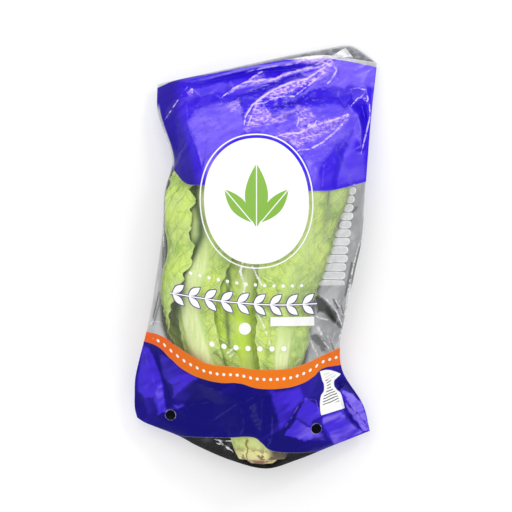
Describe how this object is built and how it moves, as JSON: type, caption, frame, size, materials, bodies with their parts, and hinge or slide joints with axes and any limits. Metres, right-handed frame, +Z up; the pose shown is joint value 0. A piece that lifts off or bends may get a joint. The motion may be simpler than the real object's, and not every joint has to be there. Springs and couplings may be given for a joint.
{
  "type": "romaine lettuce head in a film bag",
  "caption": "Whole romaine lettuce head lying in a loose clear film bag with a flat open mouth, vent holes and a printed band, plate, stripe and panel.",
  "frame": {"origin": "centre of the bounding box's bottom face, on the surface that the bag lies on", "axes": "+Y from the cut stem to the leaf tips and the bag's mouth, +X to the picture's right, +Z up out of the bag's printed front"},
  "size_m": [0.193, 0.3362, 0.0813],
  "materials": {
    "stem": "moist pale green stem, browned where it was cut",
    "leaf": "crisp satin leaf, yellow-green with a pale rib",
    "film": "thin clear glossy film with purple-blue print"
  },
  "bodies": {
    "root": {"stem": "stem", "leaf_01": "leaf", "leaf_02": "leaf", "leaf_03": "leaf", "leaf_04": "leaf", "leaf_05": "leaf", "leaf_06": "leaf", "leaf_07": "leaf", "leaf_08": "leaf", "leaf_09": "leaf", "leaf_10": "leaf", "leaf_11": "leaf", "leaf_12": "leaf", "leaf_13": "leaf", "leaf_14": "leaf", "leaf_15": "leaf", "leaf_16": "leaf", "leaf_17": "leaf", "leaf_18": "leaf", "bag": "film"}
  },
  "joints": []
}
